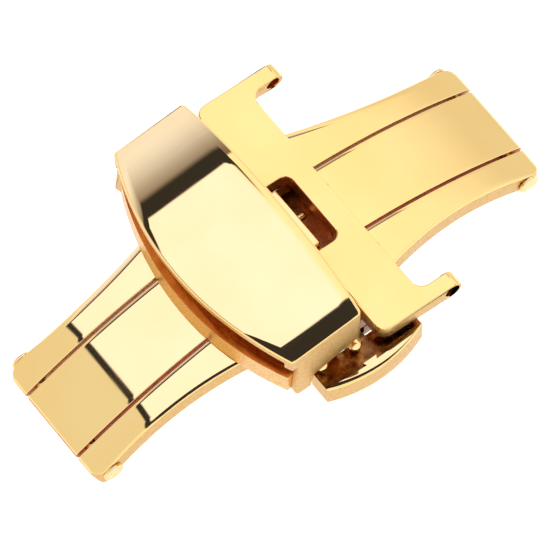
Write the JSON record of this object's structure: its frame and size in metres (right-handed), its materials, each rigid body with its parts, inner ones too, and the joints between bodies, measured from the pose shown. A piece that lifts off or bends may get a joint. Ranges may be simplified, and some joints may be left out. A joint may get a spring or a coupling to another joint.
{
  "type": "pushbutton watch clasp",
  "caption": "Gold-coloured butterfly deployant clasp for a leather watch strap, closed, with a domed strap keeper, a lug plate with open lugs and a sprung side button",
  "frame": {"origin": "under the middle of the closed clasp's bounding box, on the level of the rail ends", "axes": "+X along the clasp towards the lugs, +Y across the strap away from the button, +Z away from the wrist"},
  "size_m": [0.0374, 0.0218, 0.012],
  "materials": {
    "polished_gold": "mirror-polished gold plating",
    "satin_gold": "finely brushed gold plating",
    "pin_gold": "turned gold-plated pins",
    "inner_steel": "plain machined steel, hidden inside"
  },
  "bodies": {
    "base": {"base_frame": "polished_gold", "lock_housing": "satin_gold", "housing_rivets": "pin_gold", "centre_block": "polished_gold", "cross_bar": "pin_gold", "detent_pin": "pin_gold", "hinge_pin_left": "pin_gold", "hinge_pin_right": "pin_gold"},
    "pusher": {"pusher_button": "polished_gold", "latch_slide": "inner_steel", "button_pin": "pin_gold", "pusher_spring": "inner_steel"},
    "keeper_wing": {"left_blade": "polished_gold", "keeper_tray": "satin_gold", "keeper_cover": "polished_gold", "keeper_pins": "pin_gold", "strap_peg": "pin_gold", "left_rivets": "pin_gold", "left_catches": "inner_steel"},
    "lug_wing": {"right_blade": "polished_gold", "lug_plate": "polished_gold", "right_rivets": "pin_gold", "right_catches": "inner_steel"}
  },
  "joints": [
    {"name": "keeper_wing_fold", "type": "hinge", "parent": "base", "child": "keeper_wing", "pos_m": [-0.01742, 0.00059, 0.00107], "axis": [0, -1, 0], "range_deg": [0, 170]},
    {"name": "lug_wing_fold", "type": "hinge", "parent": "base", "child": "lug_wing", "pos_m": [0.01742, 0.00059, 0.00107], "axis": [0, 1, 0], "range_deg": [0, 170]},
    {"name": "button_push", "type": "slide", "parent": "base", "child": "pusher", "axis": [0, 1, 0], "range_m": [0, 0.0008], "stiffness_N_per_m": 1200, "springref_m": -0.0005, "deforming": ["pusher_spring"]}
  ]
}
